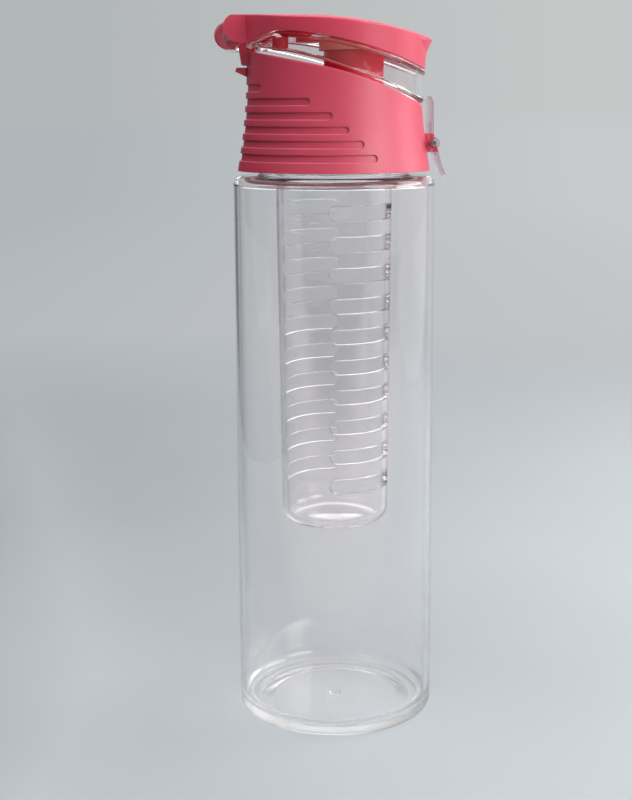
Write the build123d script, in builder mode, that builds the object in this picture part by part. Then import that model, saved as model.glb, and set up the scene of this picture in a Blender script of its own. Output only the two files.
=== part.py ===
from build123d import *
from math import atan2, degrees
import os

# A clear drinking bottle with a fruit basket that hangs from its screw cap. The bottle's axis is Z
# and its base stands on Z = 0. The flip lid's hinge is on the -X side and its latch on the +X side.
# All sizes are millimetres.

# Bottle body
body_radius = 36.0
body_wall = 1.9
shoulder_height = 198.8
shoulder_corner = 3.0
base_corner = 3.5
floor_height = 3.4
floor_corner = 4.9
push_up_height = 1.2
push_up_slope = 5.0
foot_ring_width = 8.0
neck_radius = 26.9
neck_wall = 1.9
neck_height = 14.7
neck_lip_rounding = 0.5
neck_root_rounding = 0.8

# Screw thread between the neck and the cap
thread_pitch = 4.0
thread_turns = 1.25
thread_depth = 1.0
thread_root_width = 2.2
thread_crest_width = 1.3
thread_start_height = 5.8
thread_gap = 0.3

# Inner cap: a threaded cup with the drinking spout
cap_wall = 1.8
cap_plate = 2.0
cap_lift_off_collar_edge = 0.4
cap_flange_height = 1.6
cap_flange_gap = 0.6
gasket_thickness = 1.8
gasket_gap = 0.15
spout_x = 7.15
spout_radius = 10.65
spout_wall = 2.0
spout_top_drop = 11.3
spout_rounding = 1.5
spout_bore_rounding = 0.4
guide_gap = 0.25
guide_wall = 1.5

# Collar, the outer sleeve of the cap
collar_gap = 1.75
collar_wall = 1.6
collar_waist_gap = 0.1
collar_waist_rise = 1.75
collar_foot_flare = 2.6
collar_top_draw = 1.1
collar_top_spare = 0.8
collar_edge_rounding = 0.5

# The collar's sloping upper edge, seen from the side, above the cap's plate
edge_back_height = 25.95
edge_knee_height = 18.6
edge_front_height = 2.85
edge_knee_x = -2.0
deck_drop = 2.2
deck_thickness = 1.6

# Grip grooves that wrap round the back of the collar, above its lower edge
groove_height = 2.6
groove_depth = 0.6
groove_pitch = 4.75
groove_first_height = 4.9
groove_end_angles = (66, 74, 83, 93, 107, 146)

# Basket holder under the inner cap, with a track for the basket's two lugs
holder_neck_gap = 0.5
holder_length = 12.3
track_wall = 1.6
track_depth = 1.8
track_top_height = 5.45
track_height = 2.8
basket_turn = 35
lug_half_angle = 12
lug_end_gap_angle = 2
basket_lug_count = 2
basket_lug_side_gap = 0.3

# Fruit basket
basket_gap = 0.35
basket_taper = 1.35
basket_bottom_height = 72.0
basket_wall = 1.8
basket_corner = 5.0
basket_floor = 2.0
basket_head_gap = 0.7
basket_straight = 25.0
slot_columns = 2
slot_height = 5.1
slot_pitch = 10.85
slot_top_drop = 9.9
slot_foot_margin = 12.0
slot_first_angle = -95.0
slot_last_angle = 0.0
nub_radius = 1.6
nub_height = 0.6

# Lid hinge: distances out from the collar's top edge and down from it or from the cover's top
pivot_overhang = 5.7
pivot_drop = 7.4
hinge_pin_radius = 1.5
hinge_pin_gap = 0.05
barrel_radius = 4.2
barrel_half_width = 6.5
knuckle_radius = 4.75
knuckle_half_width = 12.1
hinge_side_gap = 0.4
web_back_inset = 2.9
web_foot_overhang = 1.6
web_foot_drop = 5.9
web_front_inset = 3.1
web_front_drop = 4.7
stop_overhang = 3.9
stop_top_drop = 6.85
stop_tip_drop = 8.2
stop_foot_drop = 10.0
stop_half_width = 5.0

# Clear lid shell
shell_overhang = 1.2
shell_wall = 2.1
shell_rebate = 0.9
shell_bead = 0.3
bead_height = 1.9
rim_back_gap = 0.45
rim_front_gap = 1.4
rim_middle_x = 5.5
rim_middle_drop = 0.65
ceiling_drop = 4.9
ceiling_thickness = 1.9
arm_top_drop = 2.9
arm_root_inset = 4.2
arm_root_drop = 8.05
arm_heel_drop = 10.15
arm_toe_inset = 2.5
catch_rise = 2.5
catch_length = 1.0
catch_depth = 0.35
catch_half_width = 5.0

# Lid cover, the coloured skin over the shell: drops are below its top
cover_stand_out = 0.4
cover_flare = 1.2
cover_wall = 1.8
cover_fit_gap = 0.05
lid_depth = 11.15
cover_flat_x = -10.0
cover_front_drop = 9.15
crown_drop = 2.7
cover_edge_front_drop = 20.65
cover_edge_middle_x = 5.0
cover_edge_middle_drop = 9.7
cover_edge_back_x = -19.0
cover_edge_back_drop = 6.1
cover_edge_heel_inset = 2.3
cover_edge_heel_drop = 10.2
cover_heel_rounding = 2.5
cover_edge_rounding = 0.5
nose_inset = 3.2
nose_radius = 4.8
cheek_wall = 1.7
cheek_gap = 0.2
lip_centre_x = 12.8
lip_overhang = 2.6
lip_foot_overhang = 0.1
lip_waist_overhang = 0.5
lip_foot_drop = 18.65
lip_waist_drop = 13.65
lip_tip_drop = 8.85
anchor_radius = 2.85
anchor_spacing = 9.55
anchor_foot_drop = 12.0
peg_radius = 4.05
peg_foot_drop = 9.2
peg_seal_gap = 0.05
anchor_gap = 0.1

# Spout seal
seal_overhang = 1.6
seal_lip_width = 0.9
seal_lip_height = 0.8
seal_stem_radius = 3.0
seal_button_radius = 5.0
seal_button_height = 1.2

# Latch lever on the front of the collar: heights are above the collar's lower edge
latch_pin_overhang = 3.5
latch_pin_rise = 9.65
latch_pin_radius = 1.0
latch_eye_radius = 2.1
latch_half_width = 8.0
latch_slot_half_width = 4.35
latch_slot_end_gap = 1.1
latch_window_rise = 4.4
latch_nose_rise = 4.85
latch_nose_gap = 1.0
latch_nose_slant = 1.05
latch_outer_inset = 0.1
latch_inner_inset = 2.0
latch_knee_offset = 1.7
latch_knee_rise = 6.5
latch_hem_rise = 1.7
latch_hem_gap = 2.2
latch_foot_drop = 2.35
latch_hem_lean = 1.3
latch_foot_lean = 2.1
latch_thickness = 2.1
latch_edge_rounding = 0.6
latch_bend_radius = 9.0
lug_half_width = 4.0
lug_top_rise = 12.9
lug_foot_rise = 6.3
lug_root_inset = 0.7

# A cut runs this far past the face that it opens, and a trimming block this far past the collar
overrun = 1.0
block_overrun = 1.7

# Heights worked out from the sizes above, from the table up
neck_top = shoulder_height + neck_height
collar_base = shoulder_height + collar_gap
cap_foot = collar_base + cap_lift_off_collar_edge
cap_plate_foot = neck_top + gasket_thickness
cap_plate_top = cap_plate_foot + cap_plate
holder_foot = cap_plate_foot - holder_length
track_floor = holder_foot + track_top_height - track_height
slot_top_height = shoulder_height - slot_top_drop
slot_rows = 1 + int((slot_top_height - slot_height - basket_bottom_height - slot_foot_margin) / slot_pitch)

# Radii worked out from the neck
neck_bore = neck_radius - neck_wall
holder_radius = neck_bore - holder_neck_gap
track_radius = holder_radius - track_wall
holder_bore = track_radius - track_depth
basket_top_radius = holder_bore - basket_gap
basket_bottom_radius = basket_top_radius - basket_taper
cap_bore = neck_radius + thread_depth + thread_gap
cap_outer = cap_bore + cap_wall
collar_waist_radius = cap_outer + collar_waist_gap + collar_wall
collar_radius = collar_waist_radius + collar_foot_flare
collar_top_radius = collar_waist_radius - collar_top_draw
shell_radius = collar_top_radius + shell_overhang
shell_bore = shell_radius - shell_wall
shell_neck_radius = shell_radius - shell_rebate
cover_radius = shell_radius + cover_stand_out
cover_upper_radius = cover_radius + cover_flare
cover_bore = shell_neck_radius + cover_fit_gap
push_up_radius = body_radius - foot_ring_width
reach = collar_radius + block_overrun

# Places in the side view: x, and height above the cap's plate
side_plane = Plane(origin=(0, 0, cap_plate_top), x_dir=(1, 0, 0), z_dir=(0, -1, 0))
collar_foot = collar_base - cap_plate_top
collar_height = edge_back_height + collar_top_spare
cover_top_height = edge_back_height + lid_depth
rim_back_height = edge_back_height + rim_back_gap
rim_middle_height = edge_knee_height - rim_middle_drop
rim_front_height = edge_front_height + rim_front_gap
spout_bore = spout_radius - spout_wall
spout_top = cap_plate_top + cover_top_height - spout_top_drop
pivot_x = -collar_top_radius - pivot_overhang
pivot_height = cover_top_height - pivot_drop
pivot = (pivot_x, pivot_height)
arm_root_x = -shell_radius + arm_root_inset
arm_toe_x = pivot_x + arm_toe_inset
cover_front_height = cover_top_height - cover_front_drop
cover_edge_front_height = cover_top_height - cover_edge_front_drop
cover_edge_middle_height = cover_top_height - cover_edge_middle_drop
cover_edge_back_height = cover_top_height - cover_edge_back_drop
cover_edge_heel_x = -shell_radius + cover_edge_heel_inset
cover_edge_heel_height = cover_top_height - cover_edge_heel_drop
nose_x = pivot_x + nose_inset
nose_height = cover_top_height - nose_radius
cheek_inner = knuckle_half_width + cheek_gap
cheek_outer = cheek_inner + cheek_wall
seal_radius = spout_radius + seal_overhang
peg_x = spout_x - seal_radius - peg_seal_gap - peg_radius
anchor_x = peg_x - anchor_spacing
latch_pin_x = collar_waist_radius + latch_pin_overhang
latch_pin_height = collar_foot + latch_pin_rise
latch_pin_place = (latch_pin_x, latch_pin_height)
latch_outer_x = latch_pin_x - latch_outer_inset
latch_knee_x = latch_pin_x + latch_knee_offset
latch_knee_height = collar_foot + latch_knee_rise
lug_root_x = collar_waist_radius - lug_root_inset
lug_top_height = collar_foot + lug_top_rise
lug_foot_height = collar_foot + lug_foot_rise


def turned(points):
    """A closed outline of (radius, height) points above the table, turned about the axis."""
    with BuildPart() as solid:
        with BuildSketch(Plane.XZ):
            with BuildLine():
                Polyline(*points, close=True)
            make_face()
        revolve(axis=Axis.Z)
    return solid.part


def ring(inner, outer, foot, top):
    """A plain ring about the axis."""
    return turned([(inner, foot), (outer, foot), (outer, top), (inner, top)])


def drum(radius, foot, top, centre_x=0):
    """A solid upright cylinder on the middle plane."""
    with BuildPart() as solid:
        with BuildSketch(Plane.XY.offset(foot)):
            with Locations((centre_x, 0)):
                Circle(radius)
        extrude(amount=top - foot)
    return solid.part


def flared_core(inset):
    """What the collar's flared outside encloses, moved inwards by inset."""
    with BuildPart() as core:
        with BuildSketch(side_plane):
            with BuildLine():
                flare = Spline(
                    (collar_radius - inset, collar_foot),
                    (collar_waist_radius - inset, collar_waist_rise),
                    (collar_top_radius - inset, collar_height),
                )
                Polyline(flare @ 1, (0, collar_height), (0, collar_foot), flare @ 0)
            make_face()
        revolve(axis=Axis.Z)
    return core.part


def under_collar_edge(drop):
    """All that lies under the collar's sloping edge, lowered by drop."""
    with BuildPart() as block:
        with BuildSketch(side_plane):
            with BuildLine():
                back = Line((-reach, edge_back_height - drop), (edge_knee_x, edge_knee_height - drop))
                front = TangentArc(back @ 1, (reach, edge_front_height - drop), tangent=back % 1)
                under = collar_foot - overrun
                Polyline(front @ 1, (reach, under), (-reach, under), back @ 0)
            make_face()
        extrude(amount=reach, both=True)
    return block.part


def under_rim():
    """All that lies under the clear shell's rim."""
    with BuildPart() as block:
        with BuildSketch(side_plane):
            with BuildLine():
                rim = ThreePointArc(
                    (-reach, rim_back_height), (rim_middle_x, rim_middle_height), (reach, rim_front_height)
                )
                under = collar_foot - overrun
                Polyline(rim @ 1, (reach, under), (-reach, under), rim @ 0)
            make_face()
        extrude(amount=reach, both=True)
    return block.part


def under_cover_edge(drop):
    """All that lies under the cover's lower edge, lowered by drop."""
    with BuildPart() as block:
        with BuildSketch(side_plane) as outline:
            with BuildLine():
                heel = (cover_edge_heel_x, cover_edge_heel_height - drop)
                tail = (-reach - nose_radius, cover_edge_heel_height - drop)
                bevel = Line(heel, (cover_edge_back_x, cover_edge_back_height - drop))
                sweep_down = ThreePointArc(
                    bevel @ 1,
                    (cover_edge_middle_x, cover_edge_middle_height - drop),
                    (reach, cover_edge_front_height - drop),
                )
                under = collar_foot - overrun
                Polyline(sweep_down @ 1, (reach, under), (tail[0], under), tail, heel)
            make_face()
            corner = (cover_edge_back_x, cover_edge_back_height - drop)
            fillet(outline.vertices().sort_by_distance(corner)[0], cover_heel_rounding)
        extrude(amount=reach, both=True)
    return block.part


def crowned_block(drop):
    """All that lies under the cover's crowned top, lowered by drop."""
    tail_x = -reach - 2 * nose_radius
    with BuildPart() as block:
        with BuildLine(side_plane) as ridge:
            flat = Line((tail_x, cover_top_height - drop), (cover_flat_x, cover_top_height - drop))
            TangentArc(flat @ 1, (reach, cover_front_height - drop), tangent=flat % 1)
        section_plane = Plane(
            origin=(tail_x, 0, cap_plate_top + cover_top_height - drop), x_dir=(0, 1, 0), z_dir=(1, 0, 0)
        )
        with BuildSketch(section_plane) as section:
            with BuildLine():
                crown = ThreePointArc((-reach, -crown_drop), (0, 0), (reach, -crown_drop))
                Polyline(crown @ 1, (reach, -reach), (-reach, -reach), crown @ 0)
            make_face()
        sweep(sections=section.sketch, path=ridge.wire())
    return block.part


def thread_ridge(root_radius, depth, start):
    """One helical ridge: depth is positive outwards and negative inwards."""
    with BuildPart() as ridge:
        with BuildLine() as coil:
            Helix(
                pitch=thread_pitch,
                height=thread_pitch * thread_turns,
                radius=root_radius,
                center=(0, 0, start),
            )
        section_plane = Plane(origin=coil.line @ 0, x_dir=(1, 0, 0), z_dir=coil.line % 0)
        root = -thread_gap if depth > 0 else thread_gap
        with BuildSketch(section_plane) as tooth:
            with BuildLine():
                Polyline(
                    (root, -thread_root_width / 2),
                    (depth, -thread_crest_width / 2),
                    (depth, thread_crest_width / 2),
                    (root, thread_root_width / 2),
                    close=True,
                )
            make_face()
        sweep(sections=tooth.sketch, path=coil.wire(), is_frenet=True)
    return ridge.part


def sector(inner, outer, foot, top, first_angle, last_angle):
    """Part of a ring about the axis, between two angles."""
    with BuildPart() as solid:
        with BuildSketch(Plane.XZ):
            with BuildLine():
                Polyline((inner, foot), (outer, foot), (outer, top), (inner, top), close=True)
            make_face()
        revolve(axis=Axis.Z, revolution_arc=last_angle - first_angle)
    return solid.part.rotate(Axis.Z, first_angle)


def side_prism(outline, near, far):
    """A prism of a side-view outline, between two distances from the middle plane."""
    with BuildPart() as solid:
        with BuildSketch(side_plane.offset(near)):
            with BuildLine():
                Polyline(*outline, close=True)
            make_face()
        extrude(amount=far - near)
    return solid.part


def side_disc(centre, radius, near, far):
    """A round pin or boss that runs across the bottle."""
    with BuildPart() as solid:
        with BuildSketch(side_plane.offset(near)):
            with Locations(centre):
                Circle(radius)
        extrude(amount=far - near)
    return solid.part


def grip_groove(height, end_angle):
    """The cutter of one shallow groove round the collar's back, with round ends at +-end_angle."""
    inner = collar_top_radius / 2
    outer = collar_radius + overrun
    middle = collar_base + height
    with BuildPart() as cutter:
        foot = middle - groove_height / 2
        add(sector(inner, outer, foot, foot + groove_height, end_angle, 360 - end_angle))
        for angle in (end_angle, -end_angle):
            radial = Vector(1, 0, 0).rotate(Axis.Z, angle)
            with BuildSketch(Plane(origin=(0, 0, middle), z_dir=radial).offset(inner)):
                Circle(groove_height / 2)
            extrude(amount=outer - inner)
        add(flared_core(groove_depth), mode=Mode.SUBTRACT)
    return cutter.part


def thumb_lip():
    """The cover's hollow-fronted thumb lip, turned about its own upright axis."""
    lip_reach = cover_radius + lip_overhang
    lip_foot_height = cover_top_height - lip_foot_drop
    with BuildPart() as solid:
        with BuildSketch(side_plane):
            with BuildLine():
                front = ThreePointArc(
                    (shell_radius + lip_foot_overhang, lip_foot_height),
                    (cover_radius + lip_waist_overhang, cover_top_height - lip_waist_drop),
                    (lip_reach, cover_top_height - lip_tip_drop),
                )
                Polyline(
                    front @ 1,
                    (lip_reach, cover_top_height),
                    (lip_centre_x, cover_top_height),
                    (lip_centre_x, lip_foot_height),
                    front @ 0,
                )
            make_face()
        revolve(axis=Axis((lip_centre_x, 0, 0), (0, 0, 1)))
    return solid.part


def is_crown_side(edge):
    """True for the cover's long top edges on its two sides."""
    middle = edge.center()
    return abs(middle.Y) > cheek_outer and middle.Z > cap_plate_top + cover_edge_back_height


# Bottle body: a clear cup with a push-up base, a flat shoulder and a threaded neck
with BuildPart() as bottle_body:
    inner_radius = body_radius - body_wall
    shoulder_inside = shoulder_height - body_wall
    with BuildSketch(Plane.XZ) as profile:
        with BuildLine():
            Polyline(
                (0, push_up_height),
                (push_up_radius - push_up_slope, push_up_height),
                (push_up_radius, 0),
                (body_radius, 0),
                (body_radius, shoulder_height),
                (neck_radius, shoulder_height),
                (neck_radius, neck_top),
                (neck_bore, neck_top),
                (neck_bore, shoulder_inside),
                (inner_radius, shoulder_inside),
                (inner_radius, floor_height),
                (0, floor_height),
                close=True,
            )
        make_face()
        fillet(profile.vertices().sort_by_distance((body_radius, 0))[0], base_corner)
        shoulder_width = body_radius - neck_radius
        outer_rounding = min(shoulder_corner, shoulder_width / 2)
        root_rounding = min(neck_root_rounding, shoulder_width / 4)
        fillet(profile.vertices().sort_by_distance((body_radius, shoulder_height))[0], outer_rounding)
        fillet(profile.vertices().sort_by_distance((inner_radius, floor_height))[0], floor_corner)
        fillet(
            profile.vertices().sort_by_distance((inner_radius, shoulder_inside))[0],
            outer_rounding - body_wall / 2,
        )
        fillet(profile.vertices().sort_by_distance((neck_radius, shoulder_height))[0], root_rounding)
        fillet(profile.vertices().sort_by_distance((push_up_radius, 0))[0], push_up_slope / 2)
        fillet(profile.vertices().sort_by_distance((neck_radius, neck_top))[0], neck_lip_rounding)
        fillet(profile.vertices().sort_by_distance((neck_bore, neck_top))[0], neck_lip_rounding)
    revolve(axis=Axis.Z)
    add(thread_ridge(neck_radius, thread_depth, shoulder_height + thread_start_height))
bottle_body.part.label = "bottle_body"

# Collar: sleeve, sloping deck, spout guide, hinge web and barrel, lid stop and latch lug
with BuildPart() as collar:
    add(flared_core(0))
    add(under_collar_edge(0), mode=Mode.INTERSECT)
    upper_edges = collar.edges().filter_by(lambda edge: edge.center().Z > cap_plate_top + edge_front_height)
    fillet(upper_edges.filter_by(GeomType.LINE, reverse=True), collar_edge_rounding)
    add(flared_core(collar_wall) - under_collar_edge(deck_drop), mode=Mode.SUBTRACT)
    add(flared_core(collar_wall) & under_collar_edge(deck_drop + deck_thickness), mode=Mode.SUBTRACT)
    guide_bore = spout_radius + guide_gap
    add(drum(guide_bore + guide_wall, cap_plate_top, spout_top, spout_x) & under_collar_edge(deck_drop))
    add(drum(guide_bore, cap_plate_top, spout_top, spout_x), mode=Mode.SUBTRACT)
    web_front_x = -collar_top_radius + web_front_inset
    web = [
        pivot,
        (pivot_x + web_back_inset, pivot_height - barrel_radius / 2),
        (-collar_top_radius - web_foot_overhang, edge_back_height - web_foot_drop),
        (-collar_top_radius + collar_wall / 2, edge_back_height - web_foot_drop),
        (web_front_x, edge_back_height - web_front_drop),
        (web_front_x, pivot_height - barrel_radius),
        (pivot_x + barrel_radius, pivot_height),
    ]
    add(side_prism(web, -barrel_half_width, barrel_half_width))
    add(side_disc(pivot, barrel_radius, -barrel_half_width, barrel_half_width))
    add(side_disc(pivot, hinge_pin_radius, -barrel_half_width, barrel_half_width), mode=Mode.SUBTRACT)
    stop_tip_x = -collar_top_radius - stop_overhang
    stop = [
        (-collar_top_radius, edge_back_height - stop_top_drop),
        (stop_tip_x + collar_edge_rounding, edge_back_height - stop_top_drop),
        (stop_tip_x, edge_back_height - stop_tip_drop),
        (-collar_top_radius, edge_back_height - stop_foot_drop),
    ]
    add(side_prism(stop, -stop_half_width, stop_half_width))
    lug = [
        (lug_root_x, lug_top_height),
        (latch_outer_x, lug_top_height),
        (latch_knee_x, latch_knee_height),
        (lug_root_x, lug_foot_height),
    ]
    add(side_prism(lug, -lug_half_width, lug_half_width))
    add(side_disc(latch_pin_place, latch_pin_radius, -lug_half_width, lug_half_width), mode=Mode.SUBTRACT)
    for row, end_angle in enumerate(groove_end_angles):
        add(grip_groove(groove_first_height + row * groove_pitch, end_angle), mode=Mode.SUBTRACT)
collar.part.label = "collar"

# Inner cap: threaded skirt, top plate, spout tube and the basket's holder
with BuildPart() as inner_cap:
    add(ring(cap_bore, cap_outer, cap_foot, cap_plate_foot))
    add(ring(cap_bore, collar_radius - collar_wall - cap_flange_gap, cap_foot, cap_foot + cap_flange_height))
    add(drum(cap_outer, cap_plate_foot, cap_plate_top))
    add(ring(holder_bore, holder_radius, holder_foot, cap_plate_foot))
    add(drum(spout_radius, cap_plate_foot, spout_top, spout_x))
    mouth = inner_cap.faces().sort_by(Axis.Z)[-1].edges()
    fillet(mouth, spout_rounding)
    add(drum(spout_bore, cap_plate_foot, spout_top, spout_x), mode=Mode.SUBTRACT)
    mouth = inner_cap.faces().sort_by(Axis.Z)[-1].edges()
    fillet(mouth.sort_by(SortBy.LENGTH)[0], spout_bore_rounding)
    add(thread_ridge(cap_bore, -thread_depth, shoulder_height + thread_start_height - thread_pitch / 2))
    for index in range(basket_lug_count):
        start = index * 360 / basket_lug_count
        half = lug_half_angle + lug_end_gap_angle
        track = sector(
            holder_bore - overrun, track_radius, track_floor, track_floor + track_height,
            start - half, start + basket_turn + half,
        )
        add(track, mode=Mode.SUBTRACT)
        entry = sector(
            holder_bore - overrun, track_radius, holder_foot - overrun, track_floor + track_height,
            start + basket_turn - half, start + basket_turn + half,
        )
        add(entry, mode=Mode.SUBTRACT)
inner_cap.part.label = "inner_cap"

# Gasket: a flat ring that the cap presses onto the neck's rim
with BuildPart() as cap_gasket:
    add(ring(holder_radius + gasket_gap, cap_bore - gasket_gap, neck_top, cap_plate_foot))
cap_gasket.part.label = "cap_gasket"

# Fruit basket: a tapered clear cup with two columns of slots and two lugs that hold it in the cap
basket_top = cap_plate_foot - basket_head_gap
basket_head_foot = basket_top - basket_straight
with BuildPart() as infuser_basket:
    with BuildSketch(Plane.XZ) as profile:
        with BuildLine():
            Polyline(
                (0, basket_bottom_height),
                (basket_bottom_radius, basket_bottom_height),
                (basket_top_radius, basket_head_foot),
                (basket_top_radius, basket_top),
                (basket_top_radius - basket_wall, basket_top),
                (basket_top_radius - basket_wall, basket_head_foot),
                (basket_bottom_radius - basket_wall, basket_bottom_height + basket_floor),
                (0, basket_bottom_height + basket_floor),
                close=True,
            )
        make_face()
        corner = (basket_bottom_radius, basket_bottom_height)
        fillet(profile.vertices().sort_by_distance(corner)[0], basket_corner)
        corner = (basket_bottom_radius - basket_wall, basket_bottom_height + basket_floor)
        fillet(profile.vertices().sort_by_distance(corner)[0], basket_corner - basket_wall)
    revolve(axis=Axis.Z)
    add(drum(nub_radius, basket_bottom_height - nub_height, basket_bottom_height + basket_floor / 2))
    for column in range(slot_columns):
        turn = column * 360 / slot_columns
        for row in range(slot_rows):
            top = slot_top_height - row * slot_pitch
            foot = top - slot_height
            inner = basket_bottom_radius / 2
            outer = basket_top_radius + overrun
            end_angle = degrees(atan2(slot_height / 2, basket_top_radius))
            first = slot_first_angle + end_angle + turn
            last = slot_last_angle - end_angle + turn
            add(sector(inner, outer, foot, top, first, last), mode=Mode.SUBTRACT)
            for angle in (first, last):
                radial = Vector(1, 0, 0).rotate(Axis.Z, angle)
                end_plane = Plane(origin=(0, 0, top - slot_height / 2), z_dir=radial).offset(inner)
                with BuildSketch(end_plane):
                    Circle(slot_height / 2)
                extrude(amount=outer - inner, mode=Mode.SUBTRACT)
    lug_foot = track_floor + basket_lug_side_gap
    lug_top = track_floor + track_height - basket_lug_side_gap
    for index in range(basket_lug_count):
        start = index * 360 / basket_lug_count
        add(
            sector(
                basket_top_radius - basket_wall / 2, track_radius - basket_lug_side_gap, lug_foot, lug_top,
                start - lug_half_angle, start + lug_half_angle,
            )
        )
infuser_basket.part.label = "infuser_basket"

# Clear lid shell: side wall, crowned ceiling, bead under the cover and two hinge knuckles
with BuildPart() as lid_shell:
    shell_top = cap_plate_top + cover_top_height
    add(drum(shell_neck_radius, collar_base, shell_top))
    add(crowned_block(ceiling_drop), mode=Mode.INTERSECT)
    add(drum(shell_radius, collar_base, shell_top) & under_cover_edge(0))
    bead = drum(shell_radius + shell_bead, collar_base, shell_top)
    add((bead & under_cover_edge(0)) - under_cover_edge(bead_height))
    cavity = drum(shell_bore, collar_base, shell_top)
    add(cavity & crowned_block(ceiling_drop + ceiling_thickness), mode=Mode.SUBTRACT)
    catch_height = rim_front_height + catch_rise
    catch = [
        (shell_bore, catch_height),
        (shell_radius + catch_depth, catch_height),
        (shell_radius + catch_depth, catch_height + catch_length),
        (shell_bore, catch_height + catch_length + catch_depth),
    ]
    add(side_prism(catch, -catch_half_width, catch_half_width) - cavity)
    add(under_rim(), mode=Mode.SUBTRACT)
    hinge_gap_half = barrel_half_width + hinge_side_gap
    notch = [
        (-reach, collar_foot),
        (arm_root_x, collar_foot),
        (arm_root_x, cover_top_height),
        (-reach, cover_top_height),
    ]
    add(side_prism(notch, -knuckle_half_width, knuckle_half_width), mode=Mode.SUBTRACT)
    arm = [
        (pivot_x, pivot_height + knuckle_radius),
        (arm_root_x - knuckle_radius, cover_top_height - arm_top_drop),
        (arm_root_x + shell_wall / 2, cover_top_height - ceiling_drop),
        (arm_root_x + shell_wall / 2, cover_top_height - arm_root_drop),
        (arm_toe_x, cover_top_height - arm_heel_drop),
        (arm_toe_x, pivot_height - knuckle_radius),
        (pivot_x, pivot_height - knuckle_radius),
    ]
    for near, far in ((-knuckle_half_width, -hinge_gap_half), (hinge_gap_half, knuckle_half_width)):
        add(side_prism(arm, near, far))
        add(side_disc(pivot, knuckle_radius, near, far))
    pin_bore = hinge_pin_radius + hinge_pin_gap
    add(side_disc(pivot, pin_bore, -knuckle_half_width, knuckle_half_width), mode=Mode.SUBTRACT)
    for x, radius in ((anchor_x, anchor_radius), (peg_x, peg_radius), (spout_x, seal_stem_radius)):
        add(drum(radius + anchor_gap, collar_base, shell_top, x), mode=Mode.SUBTRACT)
lid_shell.part.label = "lid_shell"

# Lid cover: the coloured skin over the shell, with a thumb lip, hinge cheeks and two pegs
with BuildPart() as lid_cover:
    cone_foot = cap_plate_top + cover_edge_front_height - overrun
    cone_top = cap_plate_top + cover_top_height + overrun
    cone = [(0, cone_foot), (cover_radius, cone_foot), (cover_upper_radius, cone_top), (0, cone_top)]
    add(turned(cone))
    tab = [
        (nose_x, nose_height - nose_radius),
        (arm_root_x, cover_edge_heel_height),
        (arm_root_x, cover_top_height + overrun),
        (nose_x, cover_top_height + overrun),
    ]
    add(side_prism(tab, -cheek_outer, cheek_outer))
    add(side_disc((nose_x, nose_height), nose_radius, -cheek_outer, cheek_outer))
    add(thumb_lip())
    add(crowned_block(0), mode=Mode.INTERSECT)
    add(under_cover_edge(0), mode=Mode.SUBTRACT)
    crown_edges = lid_cover.edges().filter_by(GeomType.BSPLINE).filter_by(is_crown_side)
    fillet(crown_edges, cover_edge_rounding)
    hollow = drum(cover_bore, collar_base, cap_plate_top + cover_top_height)
    add(hollow & crowned_block(cover_wall), mode=Mode.SUBTRACT)
    pocket_top = cover_top_height - cover_wall
    pocket = [
        (pivot_x - hinge_side_gap, collar_foot),
        (arm_root_x, collar_foot),
        (arm_root_x, pocket_top),
        (pivot_x - hinge_side_gap, pocket_top),
    ]
    behind = [
        (-reach - nose_radius, collar_foot),
        (pivot_x - hinge_side_gap, collar_foot),
        (pivot_x - hinge_side_gap, cover_top_height),
        (-reach - nose_radius, cover_top_height),
    ]
    add(side_prism(pocket, -cheek_inner, cheek_inner), mode=Mode.SUBTRACT)
    add(side_prism(behind, -cheek_inner, cheek_inner), mode=Mode.SUBTRACT)
    cover_top = cap_plate_top + cover_top_height
    peg_root = cover_top - cover_wall / 2
    add(drum(anchor_radius, cover_top - anchor_foot_drop, peg_root, anchor_x))
    add(drum(peg_radius, cover_top - peg_foot_drop, peg_root, peg_x))
lid_cover.part.label = "lid_cover"

# Spout seal: a soft disc under the ceiling with a lip round the spout's rim and a button above
with BuildPart() as spout_seal:
    seal_foot = spout_top - seal_lip_height
    seal_top = cap_plate_top + cover_top_height
    add(drum(seal_radius, seal_foot, seal_top, spout_x))
    add(crowned_block(ceiling_drop + ceiling_thickness), mode=Mode.INTERSECT)
    add(drum(seal_radius - seal_lip_width, seal_foot, spout_top, spout_x), mode=Mode.SUBTRACT)
    under_button_top = crowned_block(ceiling_drop - seal_button_height)
    button = drum(seal_button_radius, spout_top, seal_top, spout_x) & under_button_top
    add(button - crowned_block(ceiling_drop))
    add(drum(seal_stem_radius, spout_top, seal_top, spout_x) & under_button_top)
spout_seal.part.label = "spout_seal"

# Hinge pin
with BuildPart() as hinge_pin:
    add(side_disc(pivot, hinge_pin_radius, -knuckle_half_width, knuckle_half_width))
hinge_pin.part.label = "hinge_pin"

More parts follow.
